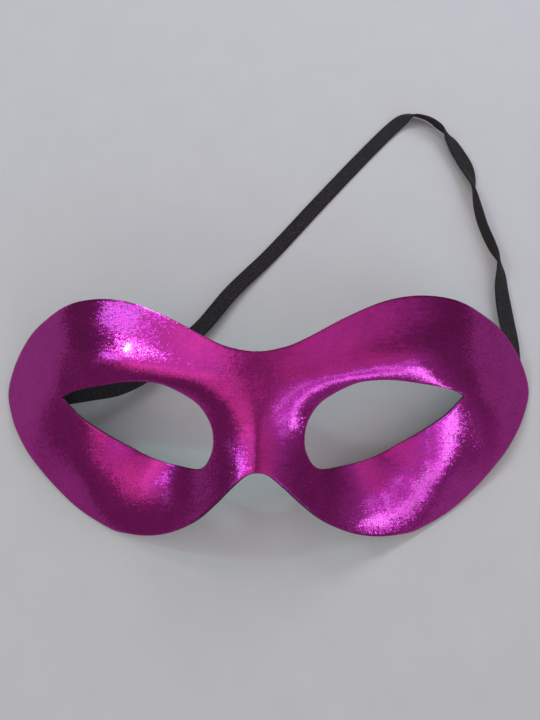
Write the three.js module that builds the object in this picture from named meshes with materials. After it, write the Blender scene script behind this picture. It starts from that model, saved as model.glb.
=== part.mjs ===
// A half-face masquerade mask in millimetres, +Z up: a moulded shell, the foil cloth that covers its front,
// and a flat elastic band. It lies face up on its temple and cheek rims, with the band on the surface behind.
import * as THREE from "three";

// Layers of the wall, counted from the front of the cloth.
const clothThickness = 0.35;
const layerGap = 0.3;
const shellThickness = 0.9;

// The moulded form is a height over the plan of the face: x runs across it, y from the cheeks to the brow.
const crownHeight = 45.9;
const crossCurve = 0.0057;
const crossEasing = 3.3e-7;
const foreheadStart = 10.5;
const foreheadCurve = 0.0018;
const cheekStart = 10;
const cheekSlope = 0.401;
const cheekRound = 5;
const noseRise = 16.5;
const noseHalfWidth = 24.2;
const noseTop = 8.1;
const noseBottom = -34.5;

// Soft swellings and hollows of the face: height, middle, reach both ways and slant.
const socket = { height: -10, centre: [25.8, -9.8], reach: [17.3, 19.6], slant: 0.246 };
const brow = { height: 3.4, centre: [31.8, 10.4], reach: [24.8, 7.6], slant: 0.3 };
const cheekbone = { height: 1.9, centre: [53.7, -17.6], reach: [9.7, 14], slant: -0.41 };

// The temple wing and the side of the cheek are flat slopes that meet the face in a soft crease.
const templeWing = { foot: 92.6, slope: 0.884, fall: 0.085, level: 8 };
const cheekWing = { foot: 79.2, slope: 0.977, turn: THREE.MathUtils.degToRad(44.9) };
const wingBlend = 10.2;
const creaseAtBrow = 5.1;
const creaseAtCheek = 3.4;
const creaseChange = 6;

// Right half of the trimmed edge, from the dip over the nose round the temple to the arch under it.
const halfOutline = [
  [0, 16.1], [8.2, 17.5], [15.1, 20.6], [25.6, 26.4], [36.2, 31.3], [45.5, 33.7], [55.4, 34.2],
  [62.6, 33.3], [69.5, 30.9], [76.8, 27.1], [82.6, 21.1], [86.4, 14.1], [87.7, 6.8], [84.6, -1.3],
  [80, -8.6], [75.5, -14.4], [67.2, -23.4], [58.6, -30.7], [48, -36.3], [41.9, -37.5], [35.6, -37.7],
  [29.2, -36.7], [23.4, -34.5], [17.6, -31.1], [12.5, -26.7], [7.4, -21.8], [3.2, -18.4], [0, -17.7],
];

// Right eye hole, from its pointed outer corner along the upper lid and back along the lower lid.
const eyeOutline = [
  [61.5, 4.4], [57.6, 6], [47.4, 7.5], [38.3, 8.3], [30.6, 7.8], [25.7, 6.3], [19.1, 2.7],
  [15.6, -1.1], [13.5, -6.3], [13.8, -12.2], [17.2, -16.8], [24.7, -16.3], [33.3, -14.1], [41.6, -9.9],
  [48.9, -5.7], [55.6, -1.3], [61.5, 4.4],
];

// Stretches of the edge and of the eye hole that face each other: first and last point of each, and its steps.
const templeStretch = { edge: [12, 6], eye: [0, 3], steps: 12 };
const foreheadStretch = { edge: [6, 0], eye: [3, 6], steps: 14 };
const bridgeStretch = { edge: null, eye: [6, 9], steps: 7 };
const noseStretch = { edge: [27, 21], eye: [9, 11], steps: 9 };
const cheekStretch = { edge: [21, 12], eye: [11, 16], steps: 18 };
const stepsAcross = 7;

// The mask leans on the surface it lies on, so that its temples and cheeks touch together.
const restingLean = THREE.MathUtils.degToRad(16);

// The elastic band: its section, and its route as x, y, z and the roll of its width in degrees.
const bandWidth = 5.8;
const bandThickness = 0.9;
const bandEdgeRound = 0.2;
const bandSteps = 76;
const bandRoute = [
  [-82.3, 9.9, 2.1, 18.5], [-76.1, 8.2, 7.2, 15.5], [-70.6, 7.6, 11.6, 9], [-64, 8.8, 13.4, 8],
  [-56.1, 11.1, 10.9, 6], [-48.3, 14.1, 7.3, 4], [-40.7, 19.2, 4.9, 2], [-31.5, 28.3, 3.6, 0],
  [-22.3, 37.8, 2.9, 0], [-12.1, 52.2, 1.9, 0], [1.1, 67.5, 0.7, 0], [19.9, 90.7, 0.5, 0],
  [37.7, 112.1, 0.5, 0], [49.2, 124.9, 0.8, -2], [53.6, 128.4, 1.5, -15], [57.4, 129.2, 2.7, -48],
  [62.2, 127.4, 3.1, -60], [66.2, 123.9, 3.2, -72], [68.9, 120.5, 3.2, -64], [70.6, 116.7, 3, -33],
  [72.7, 111.3, 2.8, -15], [75.2, 104.8, 2.8, -13], [76.4, 99.4, 3, -36], [77.1, 92.4, 3.2, -80],
  [77.9, 84.5, 3.1, -98], [79.2, 76.5, 3.1, -98], [81.3, 69, 3.1, -94], [82.9, 63.8, 3.2, -75],
  [83.2, 58.6, 2.9, -50], [82.7, 52.1, 2.6, -28], [82.8, 44.6, 2.3, -14], [83, 38.2, 2.8, -15],
  [83.5, 30.8, 3.6, -28], [83.7, 24.8, 3.7, -40.5], [83.9, 18.7, 2.5, -40],
];

function easeStep(t) {
  const clamped = THREE.MathUtils.clamp(t, 0, 1);
  return clamped * clamped * (3 - 2 * clamped);
}

function swelling(across, y, { height, centre, reach, slant }) {
  const aside = (across - centre[0]) / reach[0];
  const along = (y - centre[1] - slant * (across - centre[0])) / reach[1];
  return height * Math.exp(-(aside ** 2) - along ** 2);
}

// The lower of two heights, rounded where they are nearly the same.
function softMin(first, second, blend) {
  const share = THREE.MathUtils.clamp(0.5 + (0.5 * (second - first)) / blend, 0, 1);
  return second + (first - second) * share - blend * share * (1 - share);
}

function formHeight(x, y) {
  const across = Math.sqrt(x * x + 1) - 1;
  let face = crownHeight - crossCurve * across ** 2 + crossEasing * across ** 4;
  face -= foreheadCurve * Math.max(y - foreheadStart, 0) ** 2;
  face -= cheekSlope * (Math.hypot(Math.max(cheekStart - y, 0), cheekRound) - cheekRound);
  const alongNose = easeStep((noseTop - y) / (noseTop - noseBottom));
  face += noseRise * alongNose * Math.exp(-((across / noseHalfWidth) ** 2));
  for (const shape of [socket, brow, cheekbone]) face += swelling(across, y, shape);
  const temple = templeWing.slope * (templeWing.foot - across) - templeWing.fall * (y - templeWing.level);
  const outwards = across * Math.cos(cheekWing.turn) - y * Math.sin(cheekWing.turn);
  const cheekSide = cheekWing.slope * (cheekWing.foot - outwards);
  const wings = softMin(temple, cheekSide, wingBlend);
  const upwards = 1 / (1 + Math.exp(-y / creaseChange));
  return softMin(face, wings, creaseAtCheek + (creaseAtBrow - creaseAtCheek) * upwards);
}

// A point of the wall: the form at x, y, moved inwards by a depth square to the surface.
function wallPoint(x, y, depth) {
  const reach = 0.05;
  const slopeX = (formHeight(x + reach, y) - formHeight(x - reach, y)) / (2 * reach);
  const slopeY = (formHeight(x, y + reach) - formHeight(x, y - reach)) / (2 * reach);
  const outward = new THREE.Vector3(-slopeX, -slopeY, 1).normalize();
  return new THREE.Vector3(x, y, formHeight(x, y)).addScaledVector(outward, -depth);
}

// Evenly spaced points on a curve between two of the points it was drawn through.
function evenPoints(curve, first, last, steps) {
  const spans = curve.points.length - 1;
  const fine = 40 * Math.abs(last - first);
  const trail = Array.from({ length: fine + 1 }, (_, i) =>
    curve.getPoint((first + ((last - first) * i) / fine) / spans));
  const travelled = [0];
  for (let i = 1; i <= fine; i++) travelled.push(travelled[i - 1] + trail[i].distanceTo(trail[i - 1]));
  return Array.from({ length: steps + 1 }, (_, k) => {
    const target = (travelled[fine] * k) / steps;
    let i = 1;
    while (i < fine && travelled[i] < target) i++;
    const share = (target - travelled[i - 1]) / (travelled[i] - travelled[i - 1]);
    return trail[i - 1].clone().lerp(trail[i], share);
  });
}

function planPoints(list) {
  return list.map(([x, y]) => new THREE.Vector2(x, y));
}

// Pairs of facing points, edge and eye hole, once round the right half.
function facingPairs() {
  const half = planPoints(halfOutline);
  const mirrored = (point) => new THREE.Vector2(-point.x, point.y);
  const edgeCurve = new THREE.SplineCurve([mirrored(half[1]), ...half, mirrored(half[half.length - 2])]);
  const eyeCurve = new THREE.SplineCurve(planPoints(eyeOutline));
  const middle = new THREE.LineCurve(half[0], half[half.length - 1]);
  const pairs = [];
  for (const stretch of [templeStretch, foreheadStretch, bridgeStretch, noseStretch, cheekStretch]) {
    const edge = stretch.edge
      ? evenPoints(edgeCurve, stretch.edge[0] + 1, stretch.edge[1] + 1, stretch.steps)
      : middle.getSpacedPoints(stretch.steps);
    const eye = evenPoints(eyeCurve, stretch.eye[0], stretch.eye[1], stretch.steps);
    for (let i = 0; i < stretch.steps; i++) {
      pairs.push({ edge: edge[i], eye: eye[i], trimmed: stretch.edge !== null });
    }
  }
  return pairs;
}

// A closed layer of the wall between two depths, with its trimmed edge and both eye holes.
function layerGeometry(frontDepth, backDepth) {
  const pairs = facingPairs();
  const corners = [];
  function face(points, flipped) {
    const order = flipped ? [0, 2, 1, 0, 3, 2] : [0, 1, 2, 0, 2, 3];
    for (const i of order) corners.push(...points[i].toArray());
  }
  for (const side of [1, -1]) {
    const flipped = side < 0;
    const at = (i, k, depth) => {
      const { edge, eye } = pairs[i % pairs.length];
      const plan = eye.clone().lerp(edge, k / stepsAcross);
      return wallPoint(side * plan.x, plan.y, depth);
    };
    for (let i = 0; i < pairs.length; i++) {
      for (let k = 0; k < stepsAcross; k++) {
        const front = [at(i, k, frontDepth), at(i, k + 1, frontDepth),
          at(i + 1, k + 1, frontDepth), at(i + 1, k, frontDepth)];
        const back = [at(i, k, backDepth), at(i, k + 1, backDepth),
          at(i + 1, k + 1, backDepth), at(i + 1, k, backDepth)];
        face(front, flipped);
        face(back, !flipped);
      }
      const rim = (k) => [at(i, k, frontDepth), at(i, k, backDepth),
        at(i + 1, k, backDepth), at(i + 1, k, frontDepth)];
      face(rim(0), !flipped);
      if (pairs[i].trimmed) face(rim(stepsAcross), flipped);
    }
  }
  const geometry = new THREE.BufferGeometry();
  geometry.setAttribute("position", new THREE.Float32BufferAttribute(corners, 3));
  geometry.computeVertexNormals();
  return geometry;
}

// A straight strip of the band's section, bent and rolled along the route.
function bandGeometry() {
  const halfWidth = bandWidth / 2;
  const halfThickness = bandThickness / 2;
  const section = new THREE.Shape([
    new THREE.Vector2(halfWidth, halfThickness - bandEdgeRound),
    new THREE.Vector2(halfWidth - bandEdgeRound, halfThickness),
    new THREE.Vector2(bandEdgeRound - halfWidth, halfThickness),
    new THREE.Vector2(-halfWidth, halfThickness - bandEdgeRound),
    new THREE.Vector2(-halfWidth, bandEdgeRound - halfThickness),
    new THREE.Vector2(bandEdgeRound - halfWidth, -halfThickness),
    new THREE.Vector2(halfWidth - bandEdgeRound, -halfThickness),
    new THREE.Vector2(halfWidth, bandEdgeRound - halfThickness),
  ]);
  const strip = new THREE.ExtrudeGeometry(section, { depth: 1, steps: bandSteps, bevelEnabled: false });
  const route = new THREE.CatmullRomCurve3(
    bandRoute.map(([x, y, z]) => new THREE.Vector3(x, y, z)), false, "centripetal");
  const rolls = new THREE.SplineCurve(bandRoute.map((point, i) => new THREE.Vector2(i, point[3])));
  const up = new THREE.Vector3(0, 0, 1);
  const place = strip.getAttribute("position");
  for (let i = 0; i < place.count; i++) {
    const along = place.getZ(i);
    const heading = route.getTangent(along);
    const sideways = new THREE.Vector3().crossVectors(up, heading).normalize();
    const upward = new THREE.Vector3().crossVectors(heading, sideways);
    const roll = THREE.MathUtils.degToRad(rolls.getPoint(along).y);
    const across = place.getX(i);
    const through = place.getY(i);
    const point = route.getPoint(along);
    point.addScaledVector(sideways, across * Math.cos(roll) - through * Math.sin(roll));
    point.addScaledVector(upward, across * Math.sin(roll) + through * Math.cos(roll));
    place.setXYZ(i, point.x, point.y, point.z);
  }
  strip.computeVertexNormals();
  return strip;
}

function piece(name, geometry, colour, roughness, metalness) {
  const material = new THREE.MeshStandardMaterial({ color: colour, roughness, metalness });
  const mesh = new THREE.Mesh(geometry, material);
  mesh.name = name;
  return mesh;
}

const shellFront = clothThickness + layerGap;
const mask = new THREE.Group();
mask.add(piece("foil_cloth", layerGeometry(0, clothThickness), "#b0249a", 0.38, 1));
mask.add(piece("mask_shell", layerGeometry(shellFront, shellFront + shellThickness), "#1d1b1e", 0.7, 0));

// Leaned, then set down with the middle of its outline over the origin.
mask.rotation.x = restingLean;
mask.updateMatrixWorld(true);
const extent = new THREE.Box3().setFromObject(mask, true);
mask.position.set(0, -(extent.min.y + extent.max.y) / 2, -extent.min.z);

const masquerade = new THREE.Group();
masquerade.add(mask);
masquerade.add(piece("elastic_band", bandGeometry(), "#232022", 0.9, 0));

export default masquerade;
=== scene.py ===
import math

import bmesh
import bpy
import numpy as np
from mathutils import Matrix, Vector


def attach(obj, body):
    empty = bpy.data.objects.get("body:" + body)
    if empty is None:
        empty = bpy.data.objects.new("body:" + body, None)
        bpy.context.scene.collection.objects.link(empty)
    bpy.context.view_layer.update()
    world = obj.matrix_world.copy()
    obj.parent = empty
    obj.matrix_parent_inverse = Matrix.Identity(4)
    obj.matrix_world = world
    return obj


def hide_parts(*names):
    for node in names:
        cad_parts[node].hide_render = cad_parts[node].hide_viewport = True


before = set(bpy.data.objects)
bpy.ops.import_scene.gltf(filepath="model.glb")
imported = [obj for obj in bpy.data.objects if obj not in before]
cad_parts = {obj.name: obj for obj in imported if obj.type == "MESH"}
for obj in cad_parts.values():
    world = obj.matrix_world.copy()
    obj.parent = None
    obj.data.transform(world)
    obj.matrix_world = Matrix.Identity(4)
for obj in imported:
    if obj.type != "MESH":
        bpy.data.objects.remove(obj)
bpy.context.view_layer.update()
scene = bpy.context.scene
mm = 0.001        # the frame is in metres, the sizes below are in millimetres
waveUnit = 0.314  # metres from crest to crest of a Wave Texture at scale 1


def colour(hexCode):
    channels = [int(hexCode[i:i + 2], 16) / 255 for i in (1, 3, 5)]
    return [c / 12.92 if c <= 0.04045 else ((c + 0.055) / 1.055) ** 2.4 for c in channels] + [1.0]


# adds one node with its settings, and for each input a value, a socket to link, or a node to link by its first output
def addNode(tree, kind, settings=None, inputs=None):
    node = tree.nodes.new(kind)
    for name, value in (settings or {}).items():
        setattr(node, name, value)
    for socket, value in (inputs or {}).items():
        if isinstance(value, bpy.types.Node):
            value = value.outputs[0]
        if isinstance(value, bpy.types.NodeSocket):
            tree.links.new(value, node.inputs[socket])
        else:
            node.inputs[socket].default_value = value
    return node


def newMaterial(name):
    material = bpy.data.materials.new(name)
    material.use_nodes = True
    material.node_tree.nodes.clear()
    return material, material.node_tree


def newPiece(name, points, faces):
    mesh = bpy.data.meshes.new(name)
    mesh.from_pydata([tuple(p) for p in points], [], [tuple(f) for f in faces])
    piece = bpy.data.objects.new(name, mesh)
    scene.collection.objects.link(piece)
    return piece


cameraView = {
    "place": (11.79, -65.56, 222.77),  # mm
    "azimuth": 6.26,                   # degrees round the mask from its front
    "elevation": 67.41,
    "roll": 6.19,
    "lens": 35.0,
    "sensor": 36.0,
}


def addCamera(view):
    azimuth, elevation, roll = (math.radians(view[k]) for k in ("azimuth", "elevation", "roll"))
    back = Vector((math.sin(azimuth) * math.cos(elevation),
                   -math.cos(azimuth) * math.cos(elevation), math.sin(elevation)))
    level = Vector((math.cos(azimuth), math.sin(azimuth), 0))
    upright = back.cross(level)
    right = level * math.cos(roll) - upright * math.sin(roll)
    up = back.cross(right)
    lens = bpy.data.cameras.new("camera")
    lens.lens = view["lens"]
    lens.sensor_width = view["sensor"]
    lens.clip_start = 0.01
    camera = bpy.data.objects.new("camera", lens)
    place = Vector(view["place"]) * mm
    camera.matrix_world = Matrix.Translation(place) @ Matrix((right, up, back)).transposed().to_4x4()
    scene.collection.objects.link(camera)
    scene.camera = camera


addCamera(cameraView)
print("camera ready")

elastic = {
    "width": 5.8,          # mm
    "thickness": 0.9,
    "cords": 8,            # rubber cores side by side
    "cordRelief": 0.07,
    "bluntness": 14.0,     # the higher, the squarer the band's two edges
    "weftSpacing": 0.85,   # cross threads, drawn coarser than they are
    "weftRelief": 0.02,
    "samples": 4000,       # steps in which the route is measured
    "stations": 1100,      # rings along the band
    "sectionPoints": 64,
    "yarn": "#3a2f33",
    "betweenYarns": "#020101",
    "dust": "#181314",
    "bloom": "#8a8488",    # the fine fibres that stand off the yarn
}

# x, y, z in mm and the roll of the band's width in degrees
bandRoute = [
    (-82.3, 9.9, 2.1, 18.5), (-76.1, 8.2, 7.2, 15.5), (-70.6, 7.6, 11.6, 9), (-64, 8.8, 13.4, 8),
    (-56.1, 11.1, 10.9, 6), (-48.3, 14.1, 7.3, 4), (-40.7, 19.2, 4.9, 2), (-31.5, 28.3, 3.6, 0),
    (-22.3, 37.8, 2.9, 0), (-12.1, 52.2, 1.9, 0), (1.1, 67.5, 0.7, 0), (19.9, 90.7, 0.5, 0),
    (37.7, 112.1, 0.5, 0), (49.2, 124.9, 0.8, -2), (53.6, 128.4, 1.5, -15), (57.4, 129.2, 2.7, -48),
    (62.2, 127.4, 3.1, -60), (66.2, 123.9, 3.2, -72), (68.9, 120.5, 3.2, -64), (70.6, 116.7, 3, -33),
    (72.7, 111.3, 2.8, -15), (75.2, 104.8, 2.8, -13), (76.4, 99.4, 3, -36), (77.1, 92.4, 3.2, -80),
    (77.9, 84.5, 3.1, -98), (79.2, 76.5, 3.1, -98), (81.3, 69, 3.1, -94), (82.9, 63.8, 3.2, -75),
    (83.2, 58.6, 2.9, -50), (82.7, 52.1, 2.6, -28), (82.8, 44.6, 2.3, -14), (83, 38.2, 2.8, -15),
    (83.5, 30.8, 3.6, -28), (83.7, 24.8, 3.7, -40.5), (83.9, 18.7, 2.5, -40),
]


# a centripetal curve through the route: places and rolls at even steps of its own parameter
def smoothRoute(route, count):
    points = np.array([p[:3] for p in route], float)
    rolls = np.array([p[3] for p in route], float)
    points = np.vstack([2 * points[0] - points[1], points, 2 * points[-1] - points[-2]])
    rolls = np.concatenate([rolls[:1], rolls, rolls[-1:]])
    places, turns = [], []
    for t in np.linspace(0, len(route) - 1, count):
        i = min(int(t), len(route) - 2)
        w = t - i
        a, b, c, d = points[i:i + 4]
        before, between, after = (np.linalg.norm(q - p) ** 0.5 for p, q in ((a, b), (b, c), (c, d)))
        leaving = ((b - a) / before - (c - a) / (before + between) + (c - b) / between) * between
        arriving = ((c - b) / between - (d - b) / (between + after) + (d - c) / after) * between
        places.append(b + leaving * w + (3 * (c - b) - 2 * leaving - arriving) * w ** 2
                      + (2 * (b - c) + leaving + arriving) * w ** 3)
        a, b, c, d = rolls[i:i + 4]
        leaving, arriving = (c - a) / 2, (d - b) / 2
        turns.append(b + leaving * w + (3 * (c - b) - 2 * leaving - arriving) * w ** 2
                     + (2 * (b - c) + leaving + arriving) * w ** 3)
    return np.array(places), np.array(turns)


# the same route at even distances, and its length
def evenly(places, turns, count):
    steps = np.linalg.norm(np.diff(places, axis=0), axis=1)
    travelled = np.concatenate([[0], np.cumsum(steps)])
    wanted = np.linspace(0, travelled[-1], count)
    even = np.stack([np.interp(wanted, travelled, places[:, k]) for k in range(3)], 1)
    return even, np.interp(wanted, travelled, turns), travelled[-1]


def wovenElasticMaterial(spec):
    # polyester elastic, woven: matt, soft and dark, with lengthwise cords and fine cross threads
    material, tree = newMaterial("woven polyester elastic")
    place = addNode(tree, "ShaderNodeUVMap", {"uv_map": "UVMap"})
    # cross threads really stand about 0.4 mm apart: drawn at twice that so that they show
    picks = addNode(tree, "ShaderNodeTexWave", {"wave_type": "BANDS", "bands_direction": "Y"},
                    {"Vector": place, "Scale": waveUnit / (spec["weftSpacing"] * mm), "Distortion": 1.2,
                     "Detail": 2.0, "Detail Scale": 1.5})
    solid = addNode(tree, "ShaderNodeTexCoord")
    fuzz = addNode(tree, "ShaderNodeTexNoise", None,
                   {"Vector": solid.outputs["Object"], "Scale": 1500.0, "Detail": 4.0, "Roughness": 0.7})
    wear = addNode(tree, "ShaderNodeTexNoise", None,
                   {"Vector": solid.outputs["Object"], "Scale": 160.0, "Detail": 3.0})
    mixed = addNode(tree, "ShaderNodeMath", {"operation": "MULTIPLY_ADD"},
                    {0: picks.outputs["Fac"], 1: 0.12, 2: fuzz.outputs["Fac"]})
    tone = addNode(tree, "ShaderNodeValToRGB", None, {"Fac": mixed})
    tone.color_ramp.elements[0].position = 0.42
    tone.color_ramp.elements[0].color = colour(spec["betweenYarns"])
    tone.color_ramp.elements[1].position = 0.74
    tone.color_ramp.elements[1].color = colour(spec["yarn"])
    worn = addNode(tree, "ShaderNodeMapRange", None, {"Value": wear.outputs["Fac"], "To Min": 0.0, "To Max": 0.5})
    dusty = addNode(tree, "ShaderNodeMix", {"data_type": "RGBA"},
                    {"Factor": worn, 6: tone.outputs["Color"], 7: colour(spec["dust"])})
    bump = addNode(tree, "ShaderNodeBump", None, {"Height": mixed, "Strength": 0.6, "Distance": 0.12 * mm})
    shader = addNode(tree, "ShaderNodeBsdfPrincipled", None,
                     {"Base Color": dusty.outputs[2], "Roughness": 0.86, "Normal": bump,
                      "Specular IOR Level": 0.3, "Sheen Weight": 0.1, "Sheen Roughness": 0.5,
                      "Sheen Tint": colour(spec["bloom"])})
    addNode(tree, "ShaderNodeOutputMaterial", None, {"Surface": shader})
    return material


# the ribbed strip: a section with one crest for each cord, carried along the route's curve
def bandTree(spec, material):
    tree = bpy.data.node_groups.new("ribbed elastic", "GeometryNodeTree")
    sockets = tree.interface
    sockets.new_socket("Geometry", in_out="INPUT", socket_type="NodeSocketGeometry")
    sockets.new_socket("Geometry", in_out="OUTPUT", socket_type="NodeSocketGeometry")
    for name in ("Width", "Thickness", "Cords", "Cord Relief", "Weft Spacing", "Weft Relief"):
        sockets.new_socket(name, in_out="INPUT", socket_type="NodeSocketFloat")
    sockets.new_socket("Section Points", in_out="INPUT", socket_type="NodeSocketInt")
    given = addNode(tree, "NodeGroupInput").outputs
    upright = addNode(tree, "GeometryNodeSetCurveNormal", {"mode": "Z_UP"}, {"Curve": given["Geometry"]})
    travelled = addNode(tree, "GeometryNodeSplineParameter")
    route = addNode(tree, "GeometryNodeStoreNamedAttribute", {"data_type": "FLOAT", "domain": "POINT"},
                    {"Geometry": upright, "Name": "along", "Value": travelled.outputs["Length"]})
    ring = addNode(tree, "GeometryNodeCurvePrimitiveCircle", {"mode": "RADIUS"},
                   {"Resolution": given["Section Points"], "Radius": 1.0})
    corner = addNode(tree, "ShaderNodeSeparateXYZ", None, {"Vector": addNode(tree, "GeometryNodeInputPosition")})
    # the circle's angle spread evenly over the width, so that every cord gets as many points
    angle = addNode(tree, "ShaderNodeMath", {"operation": "ARCCOSINE"}, {0: corner.outputs["X"]})
    spread = addNode(tree, "ShaderNodeMath", {"operation": "MULTIPLY"}, {0: angle, 1: 2 / math.pi})
    across = addNode(tree, "ShaderNodeMath", {"operation": "SUBTRACT"}, {0: 1.0, 1: spread})
    wide = addNode(tree, "ShaderNodeMath", {"operation": "MULTIPLY"}, {0: across, 1: given["Width"]})
    sideways = addNode(tree, "ShaderNodeMath", {"operation": "MULTIPLY"}, {0: wide, 1: 0.5})
    # as thick all over, and rounded off close to both edges
    aside = addNode(tree, "ShaderNodeMath", {"operation": "ABSOLUTE"}, {0: across})
    blunt = addNode(tree, "ShaderNodeMath", {"operation": "POWER"}, {0: aside, 1: spec["bluntness"]})
    within = addNode(tree, "ShaderNodeMath", {"operation": "SUBTRACT", "use_clamp": True}, {0: 1.0, 1: blunt})
    fullness = addNode(tree, "ShaderNodeMath", {"operation": "SQRT"}, {0: within})
    # a crest over each cord
    counted = addNode(tree, "ShaderNodeMath", {"operation": "MULTIPLY"}, {0: across, 1: given["Cords"]})
    wave = addNode(tree, "ShaderNodeMath", {"operation": "MULTIPLY"}, {0: counted, 1: math.pi})
    valley = addNode(tree, "ShaderNodeMath", {"operation": "COSINE"}, {0: wave})
    sunk = addNode(tree, "ShaderNodeMath", {"operation": "MULTIPLY"}, {0: valley, 1: given["Cord Relief"]})
    ribbed = addNode(tree, "ShaderNodeMath", {"operation": "SUBTRACT"}, {0: given["Thickness"], 1: sunk})
    half = addNode(tree, "ShaderNodeMath", {"operation": "MULTIPLY"}, {0: ribbed, 1: 0.5})
    rounded = addNode(tree, "ShaderNodeMath", {"operation": "MULTIPLY"}, {0: half, 1: fullness})
    face = addNode(tree, "ShaderNodeMath", {"operation": "SIGN"}, {0: corner.outputs["Y"]})
    height = addNode(tree, "ShaderNodeMath", {"operation": "MULTIPLY"}, {0: rounded, 1: face})
    section = addNode(tree, "GeometryNodeSetPosition", None, {
        "Geometry": ring.outputs["Curve"],
        "Position": addNode(tree, "ShaderNodeCombineXYZ", None, {"X": sideways, "Y": height})})
    marked = addNode(tree, "GeometryNodeStoreNamedAttribute", {"data_type": "FLOAT", "domain": "POINT"},
                     {"Geometry": section, "Name": "across", "Value": sideways})
    strip = addNode(tree, "GeometryNodeCurveToMesh", None,
                    {"Curve": route, "Profile Curve": marked, "Fill Caps": True})
    # cross threads: a plain weave, so neighbouring cords rise and sink in turn
    alongNow = addNode(tree, "GeometryNodeInputNamedAttribute", {"data_type": "FLOAT"}, {"Name": "along"})
    acrossNow = addNode(tree, "GeometryNodeInputNamedAttribute", {"data_type": "FLOAT"}, {"Name": "across"})
    pairs = addNode(tree, "ShaderNodeMath", {"operation": "DIVIDE"}, {0: alongNow, 1: given["Weft Spacing"]})
    phase = addNode(tree, "ShaderNodeMath", {"operation": "MULTIPLY"}, {0: pairs, 1: 2 * math.pi})
    overUnder = addNode(tree, "ShaderNodeMath", {"operation": "SINE"}, {0: phase})
    placed = addNode(tree, "ShaderNodeMath", {"operation": "DIVIDE"}, {0: acrossNow, 1: given["Width"]})
    cordTurns = addNode(tree, "ShaderNodeMath", {"operation": "MULTIPLY"}, {0: given["Cords"], 1: math.pi})
    turn = addNode(tree, "ShaderNodeMath", {"operation": "MULTIPLY"}, {0: placed, 1: cordTurns})
    inTurn = addNode(tree, "ShaderNodeMath", {"operation": "SINE"}, {0: turn})
    weave = addNode(tree, "ShaderNodeMath", {"operation": "MULTIPLY"}, {0: overUnder, 1: inTurn})
    swell = addNode(tree, "ShaderNodeMath", {"operation": "MULTIPLY"}, {0: weave, 1: given["Weft Relief"]})
    offset = addNode(tree, "ShaderNodeVectorMath", {"operation": "SCALE"},
                     {0: addNode(tree, "GeometryNodeInputNormal"), "Scale": swell})
    woven = addNode(tree, "GeometryNodeSetPosition", None, {"Geometry": strip, "Offset": offset})
    pattern = addNode(tree, "ShaderNodeCombineXYZ", None, {"X": acrossNow, "Y": alongNow})
    mapped = addNode(tree, "GeometryNodeStoreNamedAttribute", {"data_type": "FLOAT2", "domain": "CORNER"},
                     {"Geometry": woven, "Name": "UVMap", "Value": pattern})
    smooth = addNode(tree, "GeometryNodeSetShadeSmooth", None, {"Geometry": mapped})
    whole = addNode(tree, "GeometryNodeRealizeInstances", None, {"Geometry": smooth})
    dressed = addNode(tree, "GeometryNodeSetMaterial", None, {"Geometry": whole, "Material": material})
    addNode(tree, "NodeGroupOutput", None, {"Geometry": dressed})
    return tree


# runs a tree on an object with the given inputs and keeps the result as a plain mesh
def meshFromTree(name, start, tree, inputs):
    modifier = start.modifiers.new("nodes", "NODES")
    modifier.node_group = tree
    for item in tree.interface.items_tree:
        if item.in_out == "INPUT" and item.name in inputs:
            modifier[item.identifier] = inputs[item.name]
    bpy.context.view_layer.update()
    graph = bpy.context.evaluated_depsgraph_get()
    mesh = bpy.data.meshes.new_from_object(start.evaluated_get(graph))
    mesh.name = name
    bpy.data.objects.remove(start)
    piece = bpy.data.objects.new(name, mesh)
    scene.collection.objects.link(piece)
    return piece


def makeBand(spec):
    places, turns = smoothRoute(bandRoute, spec["samples"])
    places, turns, length = evenly(places, turns, spec["stations"])
    curve = bpy.data.curves.new("bandRoute", "CURVE")
    curve.dimensions = "3D"
    curve.twist_mode = "Z_UP"
    spline = curve.splines.new("POLY")
    spline.points.add(len(places) - 1)  # it starts with one
    for point, place, turn in zip(spline.points, places, turns):
        point.co = (*(place * mm), 1)
        point.tilt = math.radians(turn)
    start = bpy.data.objects.new("bandRoute", curve)
    scene.collection.objects.link(start)
    tree = bandTree(spec, wovenElasticMaterial(spec))
    band = meshFromTree("elasticBand", start, tree, {
        "Width": spec["width"] * mm, "Thickness": spec["thickness"] * mm, "Cords": float(spec["cords"]),
        "Cord Relief": spec["cordRelief"] * mm, "Weft Spacing": 2 * spec["weftSpacing"] * mm,
        "Weft Relief": spec["weftRelief"] * mm, "Section Points": spec["sectionPoints"]})
    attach(band, "root")
    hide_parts("elastic_band")
    print("elastic band", len(band.data.polygons), "faces,", round(length, 1), "mm long")


makeBand(elastic)

# the moulded form, shared by the shell and its cloth: lengths and heights in mm, slopes without a unit
form = {
    "crownHeight": 45.9, "crossCurve": 0.0057, "crossEasing": 3.3e-7,
    "foreheadStart": 10.5, "foreheadCurve": 0.0018,
    "cheekStart": 10.0, "cheekSlope": 0.401, "cheekRound": 5.0,
    "noseRise": 16.5, "noseHalfWidth": 24.2, "noseTop": 8.1, "noseBottom": -34.5,
    "swellings": [  # height, middle, reach both ways, slant: eye socket, brow, cheekbone
        (-10.0, (25.8, -9.8), (17.3, 19.6), 0.246),
        (3.4, (31.8, 10.4), (24.8, 7.6), 0.3),
        (1.9, (53.7, -17.6), (9.7, 14.0), -0.41),
    ],
    "temple": {"foot": 92.6, "slope": 0.884, "fall": 0.085, "level": 8.0},
    "cheek": {"foot": 79.2, "slope": 0.977, "turn": math.radians(44.9)},
    "wingBlend": 10.2, "creaseAtBrow": 5.1, "creaseAtCheek": 3.4, "creaseChange": 6.0,
    "lean": math.radians(16.0),
}

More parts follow.
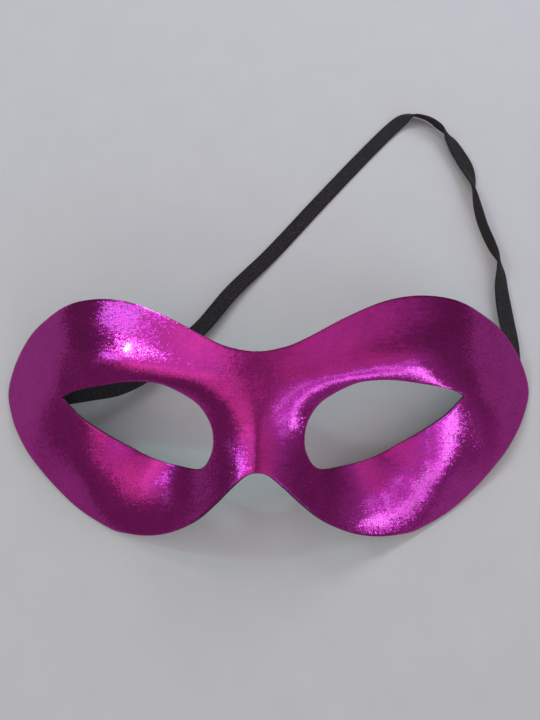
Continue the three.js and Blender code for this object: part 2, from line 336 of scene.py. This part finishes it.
# right half of the trimmed edge and the right eye hole, as in the solids
halfOutline = [
    (0, 16.1), (8.2, 17.5), (15.1, 20.6), (25.6, 26.4), (36.2, 31.3), (45.5, 33.7), (55.4, 34.2),
    (62.6, 33.3), (69.5, 30.9), (76.8, 27.1), (82.6, 21.1), (86.4, 14.1), (87.7, 6.8), (84.6, -1.3),
    (80, -8.6), (75.5, -14.4), (67.2, -23.4), (58.6, -30.7), (48, -36.3), (41.9, -37.5), (35.6, -37.7),
    (29.2, -36.7), (23.4, -34.5), (17.6, -31.1), (12.5, -26.7), (7.4, -21.8), (3.2, -18.4), (0, -17.7),
]
eyeOutline = [
    (61.5, 4.4), (57.6, 6), (47.4, 7.5), (38.3, 8.3), (30.6, 7.8), (25.7, 6.3), (19.1, 2.7),
    (15.6, -1.1), (13.5, -6.3), (13.8, -12.2), (17.2, -16.8), (24.7, -16.3), (33.3, -14.1), (41.6, -9.9),
    (48.9, -5.7), (55.6, -1.3), (61.5, 4.4),
]
# stretches that face each other: points of the edge, points of the eye hole, steps
stretches = [
    ((12, 6), (0, 3), 12), ((6, 0), (3, 6), 14),
    (None, (6, 9), 7),  # along the middle line, where the halves meet and nothing is cut
    ((27, 21), (9, 11), 9), ((21, 12), (11, 16), 18),
]


def softMin(first, second, blend):
    share = np.clip(0.5 + 0.5 * (second - first) / blend, 0, 1)
    return second + (first - second) * share - blend * share * (1 - share)


def formHeight(x, y):
    across = np.sqrt(x * x + 1) - 1  # the distance from the middle line, rounded off at the line itself
    face = form["crownHeight"] - form["crossCurve"] * across ** 2 + form["crossEasing"] * across ** 4
    face = face - form["foreheadCurve"] * np.maximum(y - form["foreheadStart"], 0) ** 2
    drop = np.hypot(np.maximum(form["cheekStart"] - y, 0), form["cheekRound"]) - form["cheekRound"]
    face = face - form["cheekSlope"] * drop
    alongNose = np.clip((form["noseTop"] - y) / (form["noseTop"] - form["noseBottom"]), 0, 1)
    alongNose = alongNose ** 2 * (3 - 2 * alongNose)
    face = face + form["noseRise"] * alongNose * np.exp(-(across / form["noseHalfWidth"]) ** 2)
    for height, centre, reach, slant in form["swellings"]:
        aside = (across - centre[0]) / reach[0]
        along = (y - centre[1] - slant * (across - centre[0])) / reach[1]
        face = face + height * np.exp(-aside ** 2 - along ** 2)
    temple, cheek = form["temple"], form["cheek"]
    templeSide = temple["slope"] * (temple["foot"] - across) - temple["fall"] * (y - temple["level"])
    outwards = across * math.cos(cheek["turn"]) - y * math.sin(cheek["turn"])
    cheekSide = cheek["slope"] * (cheek["foot"] - outwards)
    wings = softMin(templeSide, cheekSide, form["wingBlend"])
    upwards = 1 / (1 + np.exp(-y / form["creaseChange"]))
    crease = form["creaseAtCheek"] + (form["creaseAtBrow"] - form["creaseAtCheek"]) * upwards
    return softMin(face, wings, crease)


# points of the wall: the form at x, y, moved inwards by a depth square to the surface
def wallPoints(x, y, depth):
    reach = 0.05  # mm either way over which the slopes are taken
    slopeX = (formHeight(x + reach, y) - formHeight(x - reach, y)) / (2 * reach)
    slopeY = (formHeight(x, y + reach) - formHeight(x, y - reach)) / (2 * reach)
    outward = np.stack([-slopeX, -slopeY, np.ones_like(slopeX)], -1)
    outward /= np.linalg.norm(outward, axis=-1, keepdims=True)
    return np.stack([x, y, formHeight(x, y)], -1) - outward * np.asarray(depth)[..., None]


# evenly spaced points of a smooth curve between two of the points that it passes through
def stretchOf(points, first, last, steps):
    samplesEach = 60
    points = np.array(points, float)
    padded = np.vstack([points[:1], points, points[-1:]])
    trail = []
    for t in np.linspace(first, last, samplesEach * abs(last - first) + 1):
        i = min(int(t), len(points) - 2)
        w = t - i
        a, b, c, d = padded[i:i + 4]
        leaving, arriving = (c - a) / 2, (d - b) / 2
        trail.append(b + leaving * w + (3 * (c - b) - 2 * leaving - arriving) * w ** 2
                     + (2 * (b - c) + leaving + arriving) * w ** 3)
    trail = np.array(trail)
    travelled = np.concatenate([[0], np.cumsum(np.linalg.norm(np.diff(trail, axis=0), axis=1))])
    wanted = np.linspace(0, travelled[-1], steps + 1)
    return np.stack([np.interp(wanted, travelled, trail[:, k]) for k in (0, 1)], 1)


# facing points of the edge and the eye hole, once round the right half, finer than in the solids
def facingPairs(refine):
    mirrored = [(-x, y) for x, y in (halfOutline[1], halfOutline[-2])]
    wholeEdge = [mirrored[0], *halfOutline, mirrored[1]]  # one point past the middle line at either end
    edges, eyes, trimmed = [], [], []
    for edge, eye, steps in stretches:
        count = steps * refine
        if edge:
            edges.append(stretchOf(wholeEdge, edge[0] + 1, edge[1] + 1, count)[:-1])
        else:
            share = np.linspace(0, 1, count + 1)[:-1, None]
            edges.append(np.array(halfOutline[0]) * (1 - share) + np.array(halfOutline[-1]) * share)
        eyes.append(stretchOf(eyeOutline, eye[0], eye[1], count)[:-1])
        trimmed += [edge is not None] * count
    return np.vstack(edges), np.vstack(eyes), np.array(trimmed)


def leaned(points):
    cosine, sine = math.cos(form["lean"]), math.sin(form["lean"])
    return np.stack([points[..., 0], points[..., 1] * cosine - points[..., 2] * sine,
                     points[..., 1] * sine + points[..., 2] * cosine], -1)


# the closed layer between two depths, drawn in from its cut edges: points, faces, plan places, edge distances
def layer(refine, stepsAcross, frontDepth, backDepth, drawnIn):
    crowding = 0.35   # how much the rows close up towards both edges
    farFromCuts = 99  # mm, counted for the middle line, which isn't cut
    edge, eye, trimmed = facingPairs(refine)
    count = len(edge)
    width = np.linalg.norm(edge - eye, axis=1)
    fromEye, fromEdge = drawnIn(edge, eye)
    onMiddleLine = edge[:, 0] < 0.001  # where the two halves meet
    fromEdge = np.where(onMiddleLine, 0, fromEdge)
    first, last = fromEye / width, 1 - fromEdge / width
    even = np.linspace(0, 1, stepsAcross + 1)
    rise = (1 - crowding) * even + crowding * (1 - np.cos(math.pi * even)) / 2
    share = first[:, None] + (last - first)[:, None] * rise[None]
    plan = eye[:, None] + (edge - eye)[:, None] * share[..., None]
    toOuter = np.where(trimmed[:, None], (1 - share) * width[:, None], farFromCuts)
    toEdge = np.minimum(share * width[:, None], toOuter)
    points, faces, places, nearness = [], [], [], []
    for side in (1, -1):
        base = sum(len(p) for p in points)
        x, y = side * plan[..., 0], plan[..., 1]
        for depth in (frontDepth, backDepth):
            points.append(wallPoints(x, y, depth(x, y, toEdge)).reshape(-1, 3))
            places.append(np.stack([x, y], -1).reshape(-1, 2))
            nearness.append(toEdge.reshape(-1))
        row = stepsAcross + 1
        back = base + count * row
        for i in range(count):
            j = (i + 1) % count
            for k in range(stepsAcross):
                quad = (base + i * row + k, base + i * row + k + 1, base + j * row + k + 1, base + j * row + k)
                behind = tuple(v - base + back for v in quad)
                faces.append(quad[::side])
                faces.append(behind[::-side])
            for k in [0] + ([stepsAcross] if trimmed[i] else []):
                rim = (base + i * row + k, back + i * row + k, back + j * row + k, base + j * row + k)
                faces.append(rim[::-side if k == 0 else side])
    return np.vstack(points), faces, np.vstack(places), np.concatenate(nearness)


def layerPiece(name, points, faces, places, nearness, material):
    piece = newPiece(name, points * mm, faces)
    mesh = piece.data
    uv = mesh.uv_layers.new(name="UVMap")
    for loop in mesh.loops:
        uv.data[loop.index].uv = places[loop.vertex_index] * mm
    toEdge = mesh.attributes.new("toEdge", "FLOAT", "POINT")
    toEdge.data.foreach_set("value", nearness.astype(np.float32))
    work = bmesh.new()
    work.from_mesh(mesh)
    bmesh.ops.remove_doubles(work, verts=work.verts, dist=0.002 * mm)
    bmesh.ops.recalc_face_normals(work, faces=work.faces)
    work.to_mesh(mesh)
    work.free()
    for polygon in mesh.polygons:
        polygon.use_smooth = True
    mesh.set_sharp_from_angle(angle=math.radians(50))  # the cut edges stay crisp
    mesh.materials.append(material)
    return piece


shellSpec = {
    "front": 0.35,         # mm under the form's surface
    "thickness": 1.2,
    "cutEdge": 0.5,        # thickness left at the cut edges
    "thinning": 0.9,       # how far in the edges are thinner
    "restingRims": 8.0,    # height in the form up to which the rims lie on the table
    "restingBlend": 4.0,   # and the rise over which the edges thin above them
    "refine": 4,           # steps round the edges for each of the solids'
    "stepsAcross": 24,     # from the eye hole to the outer edge
    "dark": "#151416",
    "light": "#2a272b",
}


def shellMaterial():
    # vacuum-formed polystyrene sheet, black: matt inside, a faint grain from the mould
    material, tree = newMaterial("vacuum-formed black styrene")
    solid = addNode(tree, "ShaderNodeTexCoord")
    grain = addNode(tree, "ShaderNodeTexNoise", None,
                    {"Vector": solid.outputs["Object"], "Scale": 1400.0, "Detail": 3.0, "Roughness": 0.6})
    patches = addNode(tree, "ShaderNodeTexNoise", None,
                      {"Vector": solid.outputs["Object"], "Scale": 90.0, "Detail": 4.0})
    tone = addNode(tree, "ShaderNodeValToRGB", None, {"Fac": patches.outputs["Fac"]})
    tone.color_ramp.elements[0].color = colour(shellSpec["dark"])
    tone.color_ramp.elements[1].color = colour(shellSpec["light"])
    gloss = addNode(tree, "ShaderNodeMapRange", None,
                    {"Value": patches.outputs["Fac"], "To Min": 0.5, "To Max": 0.72})
    bump = addNode(tree, "ShaderNodeBump", None,
                   {"Height": grain.outputs["Fac"], "Strength": 0.4, "Distance": 0.1 * mm})
    shader = addNode(tree, "ShaderNodeBsdfPrincipled", None,
                     {"Base Color": tone.outputs["Color"], "Roughness": gloss, "IOR": 1.55, "Normal": bump})
    addNode(tree, "ShaderNodeOutputMaterial", None, {"Surface": shader})
    return material


def noInset(edge, eye):
    return np.zeros(len(edge)), np.zeros(len(edge))


def constantDepth(value):
    return lambda x, y, toEdge: np.full(np.shape(x), value)


# the trimming knife leaves the wall thinner along its cut edges, but not at the rims that the mask lies on
def shellBack(x, y, toEdge):
    height = leaned(wallPoints(x, y, 0))[..., 2]
    clear = np.clip((height - shellSpec["restingRims"]) / shellSpec["restingBlend"], 0, 1)
    thinned = (shellSpec["thickness"] - shellSpec["cutEdge"]) * clear
    return shellSpec["front"] + shellSpec["thickness"] - thinned * np.exp(-toEdge / shellSpec["thinning"])


shellPoints, shellFaces, shellPlan, shellNearness = layer(
    shellSpec["refine"], shellSpec["stepsAcross"], constantDepth(shellSpec["front"]), shellBack, noInset)
# set down as the solids are: on the lowest points of the full wall, the middle of its outline over the origin
outer, inner = (leaned(wallPoints(shellPlan[:, 0], shellPlan[:, 1], depth))
                for depth in (0, shellSpec["front"] + shellSpec["thickness"]))
reachY = np.concatenate([outer[:, 1], inner[:, 1]])
restPlace = np.array([0, -(reachY.min() + reachY.max()) / 2, -inner[:, 2].min()])
maskShell = layerPiece("maskShell", leaned(shellPoints) + restPlace, shellFaces, shellPlan, shellNearness,
                       shellMaterial())
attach(maskShell, "root")
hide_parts("mask_shell")
print("shell", len(maskShell.data.polygons), "faces, set down at", restPlace.round(3).tolist())

clothSpec = {
    "thickness": 0.35,       # mm
    "clearance": 0.01,       # left in front of the shell, so that the two never share a face
    "refine": 5,
    "stepsAcross": 34,
    "front": 0.02,           # mm under the form's surface where the cloth stands highest
    "waveHeight": 0.05,      # slow waves, and how they are drawn
    "waves": 36,
    "waveLengths": (5, 16),
    "waveSeed": 3,
    "calmEdge": 2,           # mm over which the waves die out at a cut edge
    "edgeRoll": 0.12,        # how far the cut edge turns in, and over what distance
    "edgeRollReach": 0.2,
    "trim": 0.02,            # how far the cloth stays short of the shell at the least
    "extraTrim": 0.05,       # and how much more at the lower lids and the nose arch
    "raggedness": 0.05,
    "snip": 7,               # points of the edge that one snip of the scissors runs over
    "trimSeed": 7,
    "loop": 0.32,            # mm from loop to loop of the knit, and between its threads and rows
    "thread": 0.36,
    "rowSpacing": 0.72,
    "ribSpacing": 0.78,
    "lacquerThick": "#9a1f7d",
    "lacquerThin": "#b82893",
    # painted shade for the gaps between the threads
    "threadGapShade": "#5a3058",
    "darkerEdge": "#3a1434",
    "glint": "#ecc0e6",
}


def foilMaterial(spec):
    # foil-printed polyester knit: dyed lacquer over bright metal on fine loops. Most loops lie almost flat and a
    # few stand askew, so it glitters where a highlight begins and ends
    material, tree = newMaterial("magenta foil on polyester knit")
    solid = addNode(tree, "ShaderNodeTexCoord")
    plan = addNode(tree, "ShaderNodeUVMap", {"uv_map": "UVMap"})
    # the loops really stand 0.3 mm apart: drawn a little coarser, as fine as the picture can show
    loops = addNode(tree, "ShaderNodeTexVoronoi", None,
                    {"Vector": solid.outputs["Object"], "Scale": 1 / (spec["loop"] * mm), "Randomness": 1.0})
    askew = addNode(tree, "ShaderNodeVectorMath", {"operation": "SUBTRACT"},
                    {0: loops.outputs["Color"], 1: (0.5, 0.5, 0.5)})
    size = addNode(tree, "ShaderNodeVectorMath", {"operation": "LENGTH"}, {0: askew})
    rarely = addNode(tree, "ShaderNodeMath", {"operation": "POWER"}, {0: size.outputs["Value"], 1: 4.0})
    reach = addNode(tree, "ShaderNodeMath", {"operation": "MULTIPLY_ADD"}, {0: rarely, 1: 0.25, 2: 0.085})
    loopTilt = addNode(tree, "ShaderNodeVectorMath", {"operation": "SCALE"}, {0: askew, "Scale": reach})
    # the glue under the cloth leaves slow hollows
    hollows = addNode(tree, "ShaderNodeTexNoise", None,
                      {"Vector": solid.outputs["Object"], "Scale": 1 / (1.1 * mm), "Detail": 1.0})
    centred = addNode(tree, "ShaderNodeVectorMath", {"operation": "SUBTRACT"},
                      {0: hollows.outputs["Color"], 1: (0.5, 0.5, 0.5)})
    hollowTilt = addNode(tree, "ShaderNodeVectorMath", {"operation": "SCALE"}, {0: centred, "Scale": 0.08})
    # the knit's courses run across the face: threads longer than they are wide, round from below to above
    stretched = addNode(tree, "ShaderNodeMapping", None, {"Vector": plan, "Scale": (0.14, 1.0, 1.0)})
    courses = addNode(tree, "ShaderNodeTexVoronoi", None,
                      {"Vector": stretched, "Scale": 1 / (spec["thread"] * mm), "Randomness": 1.0})
    threads = addNode(tree, "ShaderNodeVectorMath", {"operation": "SUBTRACT"},
                      {0: courses.outputs["Color"], 1: (0.5, 0.5, 0.5)})
    threadTilt = addNode(tree, "ShaderNodeVectorMath", {"operation": "MULTIPLY"},
                         {0: threads, 1: (0.02, 0.075, 0.02)})
    surface = addNode(tree, "ShaderNodeNewGeometry").outputs["Normal"]
    for tilt in (loopTilt, hollowTilt, threadTilt):
        surface = addNode(tree, "ShaderNodeVectorMath", {"operation": "ADD"}, {0: surface, 1: tilt})
    facing = addNode(tree, "ShaderNodeVectorMath", {"operation": "NORMALIZE"}, {0: surface})
    # the lacquer is a little thicker in some loops than in others
    clouds = addNode(tree, "ShaderNodeTexNoise", None,
                     {"Vector": solid.outputs["Object"], "Scale": 260.0, "Detail": 5.0, "Roughness": 0.6})
    single = addNode(tree, "ShaderNodeSeparateColor", None, {"Color": loops.outputs["Color"]})
    cloudy = addNode(tree, "ShaderNodeMath", {"operation": "MULTIPLY"}, {0: clouds.outputs["Fac"], 1: 0.6})
    depth = addNode(tree, "ShaderNodeMath", {"operation": "MULTIPLY_ADD"},
                    {0: single.outputs["Green"], 1: 0.4, 2: cloudy})
    tone = addNode(tree, "ShaderNodeValToRGB", None, {"Fac": depth})
    tone.color_ramp.elements[0].position = 0.2
    tone.color_ramp.elements[0].color = colour(spec["lacquerThick"])
    tone.color_ramp.elements[1].position = 0.8
    tone.color_ramp.elements[1].color = colour(spec["lacquerThin"])
    # where it was pulled tight, over the nose and in patches, the threads open and their rows show as fine lines,
    # with painted shade darkening the gaps between the threads; they really stand 0.35 mm apart and are drawn at
    # twice that
    across = addNode(tree, "ShaderNodeSeparateXYZ", None, {"Vector": plan})
    aside = addNode(tree, "ShaderNodeMath", {"operation": "ABSOLUTE"}, {0: across.outputs["X"]})
    overNose = addNode(tree, "ShaderNodeMapRange", {"interpolation_type": "SMOOTHSTEP"},
                       {"Value": aside, "From Min": 3 * mm, "From Max": 18 * mm, "To Min": 0.6, "To Max": 0.0})
    patches = addNode(tree, "ShaderNodeTexNoise", None, {"Vector": plan, "Scale": 70.0, "Detail": 2.0})
    pulled = addNode(tree, "ShaderNodeMapRange", None,
                     {"Value": patches.outputs["Fac"], "From Min": 0.42, "From Max": 0.62})
    rows = addNode(tree, "ShaderNodeTexWave", {"wave_type": "BANDS", "bands_direction": "Y"},
                   {"Vector": plan, "Scale": waveUnit / (spec["rowSpacing"] * mm), "Distortion": 2.0,
                    "Detail": 3.0, "Detail Scale": 3.0})
    ribs = addNode(tree, "ShaderNodeTexWave", {"wave_type": "BANDS", "bands_direction": "X"},
                   {"Vector": plan, "Scale": waveUnit / (spec["ribSpacing"] * mm), "Distortion": 2.0,
                    "Detail": 3.0, "Detail Scale": 3.0})
    openRows = addNode(tree, "ShaderNodeMath", {"operation": "MULTIPLY"}, {0: rows.outputs["Fac"], 1: pulled})
    gaps = addNode(tree, "ShaderNodeMath", {"operation": "MULTIPLY_ADD"},
                   {0: ribs.outputs["Fac"], 1: overNose, 2: openRows})
    gapShade = addNode(tree, "ShaderNodeMath", {"operation": "MULTIPLY"}, {0: gaps, 1: 0.15})
    # painted shade: the foil's colour darkened along the gaps between the threads
    shaded = addNode(tree, "ShaderNodeMix", {"data_type": "RGBA", "blend_type": "MULTIPLY"},
                     {"Factor": gapShade, 6: tone.outputs["Color"], 7: colour(spec["threadGapShade"])})
    # the colour is darker over the last tenth of a millimetre at the cut edges
    edge = addNode(tree, "ShaderNodeAttribute", {"attribute_name": "toEdge"})
    edgeDarkening = addNode(tree, "ShaderNodeMapRange", None,
                   {"Value": edge.outputs["Fac"], "From Min": 0.02, "From Max": 0.14, "To Min": 0.5, "To Max": 0.0})
    skin = addNode(tree, "ShaderNodeMix", {"data_type": "RGBA"},
                   {"Factor": edgeDarkening, 6: shaded.outputs[2], 7: colour(spec["darkerEdge"])})
    rough = addNode(tree, "ShaderNodeMapRange", None,
                    {"Value": clouds.outputs["Fac"], "To Min": 0.125, "To Max": 0.175})
    # a thin clear coat: its own shine is white, and lifts the hottest spots towards white
    shader = addNode(tree, "ShaderNodeBsdfPrincipled", None,
                     {"Base Color": skin.outputs[2], "Metallic": 1.0, "Roughness": rough, "Normal": facing,
                      "Specular Tint": colour(spec["glint"]),
                      "Coat Weight": 0.26, "Coat Roughness": 0.12, "Coat IOR": 1.5})
    addNode(tree, "ShaderNodeOutputMaterial", None, {"Surface": shader})
    return material


# slow waves of a cloth that was stretched and glued, the longest the highest, as a share of their height
def unevenness(x, y):
    random = np.random.default_rng(clothSpec["waveSeed"])
    shortest, longest = clothSpec["waveLengths"]
    total = np.zeros(np.shape(x))
    for _ in range(clothSpec["waves"]):
        heading = random.uniform(0, math.pi)
        waveLength = random.uniform(shortest, longest)
        phase = random.uniform(0, 2 * math.pi)
        along = x * math.cos(heading) + y * math.sin(heading)
        total += (waveLength / longest) ** 1.3 * np.sin(2 * math.pi * along / waveLength + phase)
    return total / math.sqrt(clothSpec["waves"])


# the scissors left the cloth a little short of the shell, most along the lower lids and the nose arch
def clothInset(edge, eye):
    random = np.random.default_rng(clothSpec["trimSeed"])
    snip = clothSpec["snip"]
    rough = np.convolve(random.uniform(0, 1, len(edge) + snip - 1), np.ones(snip) / snip, "valid")
    ragged = clothSpec["trim"] + clothSpec["raggedness"] * rough
    lowerLid = np.clip((3 - eye[:, 1]) / 6, 0, 1)      # fades in over the eye's middle, from 3 mm to -3 mm
    nearArch = (edge[:, 0] < 30) & (edge[:, 1] < -15)  # the arch and the cheek beside it
    return ragged + clothSpec["extraTrim"] * lowerLid, ragged + clothSpec["extraTrim"] * nearArch


def clothFront(x, y, toEdge):
    calm = 1 - np.exp(-toEdge / clothSpec["calmEdge"])
    waved = clothSpec["waveHeight"] * (1 - unevenness(x, y)) * calm
    rolled = clothSpec["edgeRoll"] * np.exp(-toEdge / clothSpec["edgeRollReach"])
    return clothSpec["front"] + waved + rolled


clothPoints, clothFaces, clothPlan, clothNearness = layer(
    clothSpec["refine"], clothSpec["stepsAcross"], clothFront,
    constantDepth(clothSpec["thickness"] - clothSpec["clearance"]), clothInset)
foilCloth = layerPiece("foilCloth", leaned(clothPoints) + restPlace, clothFaces, clothPlan, clothNearness,
                       foilMaterial(clothSpec))
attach(foilCloth, "root")
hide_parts("foil_cloth")
print("cloth", len(foilCloth.data.polygons), "faces")

tableTop = {
    "halfSize": 9.0,  # metres, wide enough for a camera at any height
    "dark": "#c0babb",
    "light": "#c8c2c3",
    "roughness": 0.62,
}
lightRig = {
    "middle": (0.0, 0.0, 0.02),
    # name: azimuth and height in degrees, half width and half height in degrees, distance in metres,
    # brightness, colour
    "lamps": {
        "windowRow": (42.0, 21.5, 21.0, 5.5, 2.5, 2.9, "#b8ffe4"),
        "frontPane": (25.0, 28.5, 3.5, 4.0, 2.5, 4.2, "#b8ffe4"),
        "sideWindow": (59.5, 20.5, 8.0, 5.5, 2.0, 4.8, "#b8ffe4"),
        "farPane": (51.0, 38.0, 3.0, 10.0, 2.0, 3.0, "#c4f4ff"),
        "highPane": (32.0, 47.0, 4.0, 4.0, 2.0, 2.1, "#c4f0ff"),
        "rightPane": (69.0, 36.0, 6.0, 8.0, 2.0, 1.3, "#c4f4ff"),
        "leftStrip": (-98.0, 38.5, 5.5, 8.5, 1.5, 3.7, "#b8faff"),
        "leftLow": (-87.0, 24.0, 3.0, 5.0, 1.5, 0.9, "#c4f0ff"),
        "leftPane": (-111.0, 51.0, 6.5, 6.5, 1.5, 2.4, "#c0fff4"),
        "smallLamp": (-114.5, 47.5, 1.8, 1.5, 1.2, 130.0, "#c8fff0"),
        "backLow": (180.0, 25.0, 16.0, 16.0, 1.0, 1.4, "#d8eaff"),
        "backHigh": (-158.0, 56.0, 6.0, 6.0, 1.2, 10.0, "#f6f9ff"),
        "backRight": (150.0, 38.0, 13.0, 13.0, 0.6, 3.9, "#dcecff"),
    },
    # soft light that comes back from the room: azimuth, height and reach in degrees, brightness, colour
    "glows": {
        "frontWindow": (17.7, 27.9, 38.0, 0.68, "#d7e3ff"),
        "farWindow": (60.8, 42.1, 44.0, 0.34, "#e1eeff"),
        "leftPanel": (-92.0, 54.0, 28.0, 0.8, "#fbf2ff"),
        "overheadPanel": (-47.0, 52.5, 27.0, 0.76, "#ffe2dc"),
        "ceilingLight": (78.0, 68.0, 32.0, 0.28, "#ffc8c0"),
        "frontPanel": (-12.0, 43.0, 19.0, 0.38, "#ffc0c8"),
    },
    "walls": "#857f82",    # dimmer towards the back
    "ceiling": "#5e5452",  # added overhead
}


def towards(azimuth, height):
    return Vector((math.sin(azimuth) * math.cos(height), -math.cos(azimuth) * math.cos(height), math.sin(height)))


def addTableTop(spec):
    # matt laminated table top: pale grey, almost even, with a faint mottling
    material, tree = newMaterial("matt pale laminate")
    solid = addNode(tree, "ShaderNodeTexCoord")
    mottle = addNode(tree, "ShaderNodeTexNoise", None,
                     {"Vector": solid.outputs["Object"], "Scale": 60.0, "Detail": 5.0, "Roughness": 0.6})
    tone = addNode(tree, "ShaderNodeValToRGB", None, {"Fac": mottle.outputs["Fac"]})
    tone.color_ramp.elements[0].color = colour(spec["dark"])
    tone.color_ramp.elements[1].color = colour(spec["light"])
    shader = addNode(tree, "ShaderNodeBsdfPrincipled", None,
                     {"Base Color": tone.outputs["Color"], "Roughness": spec["roughness"],
                      "Specular IOR Level": 0.15})
    addNode(tree, "ShaderNodeOutputMaterial", None, {"Surface": shader})
    half = spec["halfSize"]
    corners = [(-half, -half, 0), (half, -half, 0), (half, half, 0), (-half, half, 0)]
    floor = newPiece("tableTop", corners, [(0, 1, 2, 3)])
    floor.data.materials.append(material)


def addLamps(rig):
    middle = Vector(rig["middle"])
    for name, (*angles, distance, brightness, tint) in rig["lamps"].items():
        azimuth, height, halfWidth, halfHeight = (math.radians(angle) for angle in angles)
        away = towards(azimuth, height)
        lamp = bpy.data.lights.new(name, "AREA")
        lamp.shape = "ELLIPSE"
        lamp.size, lamp.size_y = (2 * distance * math.tan(half) for half in (halfWidth, halfHeight))
        # the power that gives the ellipse this brightness: pi times its area
        lamp.energy = brightness * math.pi * math.pi * lamp.size * lamp.size_y / 4
        lamp.color = colour(tint)[:3]
        light = bpy.data.objects.new(name, lamp)
        light.matrix_world = Matrix.Translation(middle + away * distance) \
            @ away.to_track_quat("Z", "Y").to_matrix().to_4x4()
        scene.collection.objects.link(light)


def addRoomLight(rig):
    world = bpy.data.worlds.new("room light")
    world.use_nodes = True
    tree = world.node_tree
    tree.nodes.clear()
    direction = addNode(tree, "ShaderNodeTexCoord").outputs["Generated"]
    parts = addNode(tree, "ShaderNodeSeparateXYZ", None, {"Vector": direction})
    dimmed = addNode(tree, "ShaderNodeMapRange", None, {"Value": parts.outputs["Y"], "To Min": 1.0, "To Max": 0.0})
    overhead = addNode(tree, "ShaderNodeMapRange", None, {"Value": parts.outputs["Z"]})
    shares = [(colour(rig["walls"]), dimmed), (colour(rig["ceiling"]), overhead)]
    for azimuth, height, reach, brightness, tint in rig["glows"].values():
        away = towards(math.radians(azimuth), math.radians(height))
        nearness = addNode(tree, "ShaderNodeVectorMath", {"operation": "DOT_PRODUCT"}, {0: direction, 1: away})
        fading = addNode(tree, "ShaderNodeMapRange", {"interpolation_type": "SMOOTHSTEP"},
                         {"Value": nearness.outputs["Value"], "From Min": math.cos(math.radians(reach)),
                          "From Max": 1.0})
        shares.append(([channel * brightness for channel in colour(tint)], fading))
    room = (0.0, 0.0, 0.0)
    for shade, share in shares:
        part = addNode(tree, "ShaderNodeVectorMath", {"operation": "SCALE"}, {0: shade[:3], "Scale": share})
        room = addNode(tree, "ShaderNodeVectorMath", {"operation": "ADD"}, {0: room, 1: part})
    light = addNode(tree, "ShaderNodeBackground", None, {"Color": room, "Strength": 1.0})
    addNode(tree, "ShaderNodeOutputWorld", None, {"Surface": light})
    scene.world = world
    scene.view_settings.view_transform = "Standard"


addTableTop(tableTop)
addLamps(lightRig)
addRoomLight(lightRig)
print("stage and lights ready")
